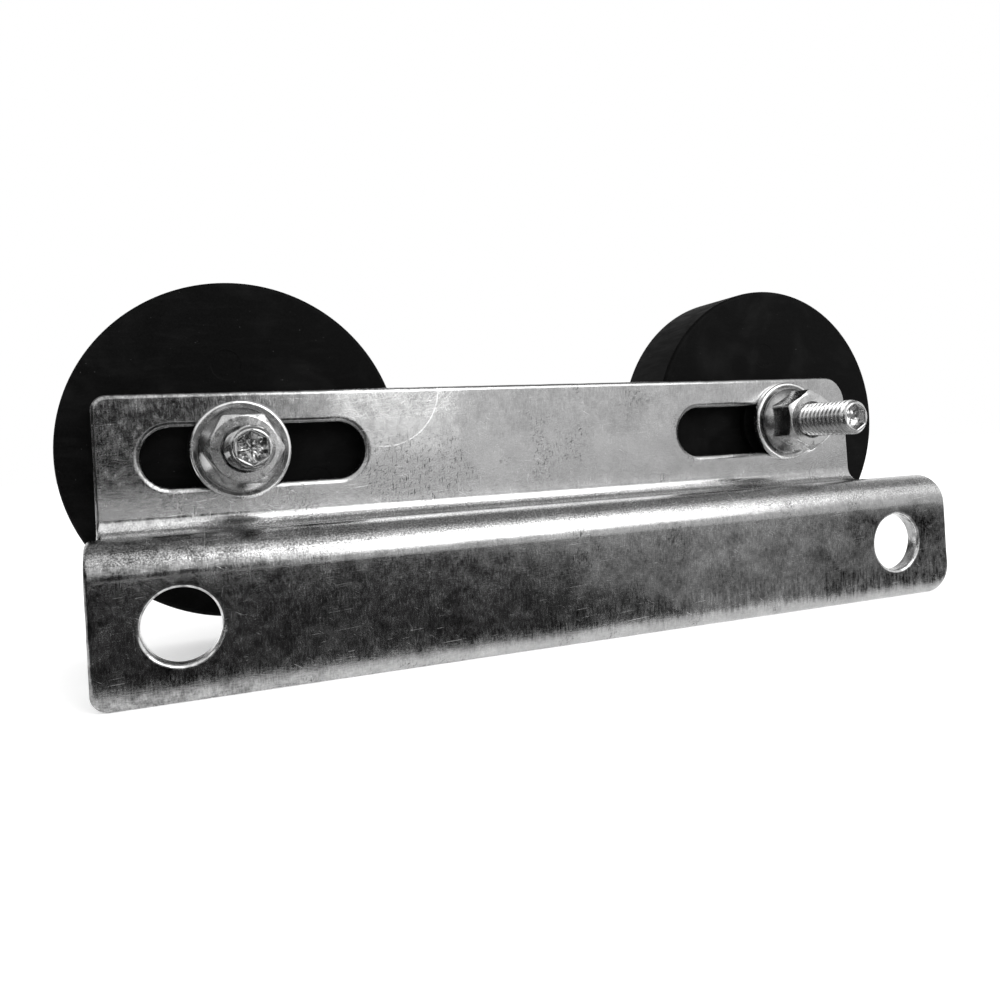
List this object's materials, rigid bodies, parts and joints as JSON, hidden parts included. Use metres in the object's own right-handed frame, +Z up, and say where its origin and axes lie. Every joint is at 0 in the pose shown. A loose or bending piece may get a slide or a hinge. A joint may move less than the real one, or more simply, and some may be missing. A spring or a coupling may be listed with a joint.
{
  "type": "sliding door roller",
  "caption": "Offset steel bracket with two adjustable guide rollers that a sliding door runs between; two round fixing holes and two slots for the wheel axles.",
  "frame": {"origin": "midway between the two fixing holes, on the front (mounting) face of the lower flange", "axes": "+X along the bracket's length, +Y from the mounting face back towards the wheels, along the axles, +Z up the flanges"},
  "size_m": [0.2004, 0.0495, 0.075],
  "materials": {
    "zinc_plate": "zinc-plated, dull, scratched",
    "zinc_hardware": "bright zinc-plated",
    "black_nylon_wheel": "matte moulded nylon",
    "black_nylon_washer": "matte moulded nylon",
    "bearing_steel": "ground steel",
    "shield_steel": "pressed steel",
    "cage_steel": "pressed steel",
    "polished_ball": "polished"
  },
  "bodies": {
    "bracket": {"bracket": "zinc_plate"},
    "left_axle": {"left_axle_bolt": "zinc_hardware", "left_flange_nut": "zinc_hardware", "left_flat_washer": "zinc_hardware", "left_slot_washer": "black_nylon_washer", "left_spacer_sleeve": "zinc_hardware", "left_head_washer": "zinc_hardware", "left_inner_race": "bearing_steel"},
    "left_wheel": {"left_wheel": "black_nylon_wheel", "left_outer_race": "bearing_steel", "left_front_shield": "shield_steel", "left_back_shield": "shield_steel"},
    "left_cage": {"left_bearing_cage": "cage_steel", "left_bearing_balls": "polished_ball"},
    "right_axle": {"right_axle_bolt": "zinc_hardware", "right_flange_nut": "zinc_hardware", "right_flat_washer": "zinc_hardware", "right_slot_washer": "black_nylon_washer", "right_spacer_sleeve": "zinc_hardware", "right_head_washer": "zinc_hardware", "right_inner_race": "bearing_steel"},
    "right_wheel": {"right_wheel": "black_nylon_wheel", "right_outer_race": "bearing_steel", "right_front_shield": "shield_steel", "right_back_shield": "shield_steel"},
    "right_cage": {"right_bearing_cage": "cage_steel", "right_bearing_balls": "polished_ball"}
  },
  "joints": [
    {"name": "left_axle_slide", "type": "slide", "parent": "bracket", "child": "left_axle", "axis": [1, 0, 0], "range_m": [-0.0138, 0.0202]},
    {"name": "left_wheel_spin", "type": "hinge", "parent": "left_axle", "child": "left_wheel", "pos_m": [-0.0632, 0.0395, 0.0282], "axis": [0, 1, 0], "continuous": true},
    {"name": "left_cage_spin", "type": "hinge", "parent": "left_axle", "child": "left_cage", "pos_m": [-0.0632, 0.0395, 0.0282], "axis": [0, 1, 0], "continuous": true},
    {"name": "right_axle_slide", "type": "slide", "parent": "bracket", "child": "right_axle", "axis": [1, 0, 0], "range_m": [-0.0261, 0.0065]},
    {"name": "right_wheel_spin", "type": "hinge", "parent": "right_axle", "child": "right_wheel", "pos_m": [0.0698, 0.0395, 0.0288], "axis": [0, 1, 0], "continuous": true},
    {"name": "right_cage_spin", "type": "hinge", "parent": "right_axle", "child": "right_cage", "pos_m": [0.0698, 0.0395, 0.0288], "axis": [0, 1, 0], "continuous": true}
  ],
  "couplings": [
    {"joint": "left_cage_spin", "follows": "left_wheel_spin", "ratio": 0.6323},
    {"joint": "right_cage_spin", "follows": "right_wheel_spin", "ratio": 0.6323}
  ]
}
